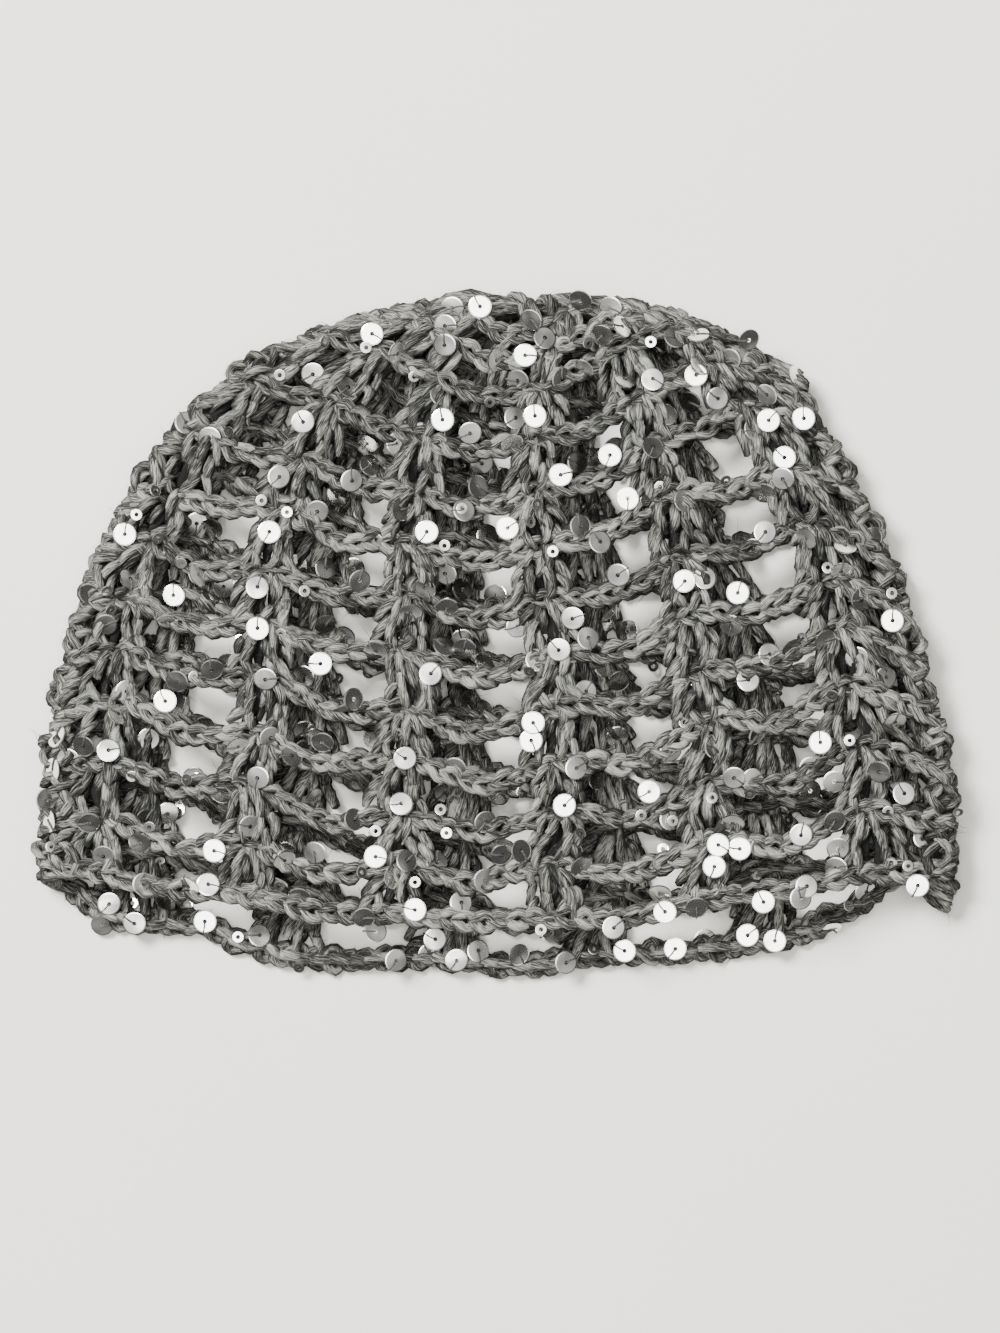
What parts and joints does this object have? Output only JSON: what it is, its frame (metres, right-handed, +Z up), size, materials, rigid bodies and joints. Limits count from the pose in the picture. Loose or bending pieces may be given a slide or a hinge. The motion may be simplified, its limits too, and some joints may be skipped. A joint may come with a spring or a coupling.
{
  "type": "crochet skull cap with sequins, laid flat",
  "caption": "Close-fitting crochet cap in openwork rounds of grey heather yarn scattered with silver sequins, lying flat.",
  "frame": {"origin": "centre of the bounding box, on the surface that the cap's back face lies on", "axes": "+X along the cap's width, to the right as its front face is seen; +Y from the mouth to the crown; +Z up out of the front face"},
  "size_m": [0.2368, 0.1742, 0.0194],
  "materials": {
    "yarn": "matt marled grey yarn",
    "sequin": "mirror silver foil"
  },
  "bodies": {
    "root": {"crown": "yarn", "mesh_round_03": "yarn", "mesh_round_04": "yarn", "mesh_round_05": "yarn", "mesh_round_06": "yarn", "mesh_round_07": "yarn", "mesh_round_08": "yarn", "mesh_round_09": "yarn", "mesh_round_10": "yarn", "mesh_round_11": "yarn", "hem_round": "yarn", "sequin_01": "sequin", "sequin_02": "sequin", "sequin_03": "sequin", "sequin_04": "sequin", "sequin_05": "sequin", "sequin_06": "sequin", "sequin_07": "sequin", "sequin_08": "sequin", "sequin_09": "sequin", "sequin_10": "sequin", "sequin_11": "sequin", "sequin_12": "sequin", "sequin_13": "sequin", "sequin_14": "sequin", "sequin_15": "sequin", "sequin_16": "sequin", "sequin_17": "sequin", "sequin_18": "sequin", "sequin_19": "sequin", "sequin_20": "sequin", "sequin_21": "sequin", "sequin_22": "sequin", "sequin_23": "sequin", "sequin_24": "sequin", "sequin_25": "sequin", "sequin_26": "sequin", "sequin_27": "sequin", "sequin_28": "sequin", "sequin_29": "sequin", "sequin_30": "sequin", "sequin_31": "sequin"}
  },
  "joints": []
}
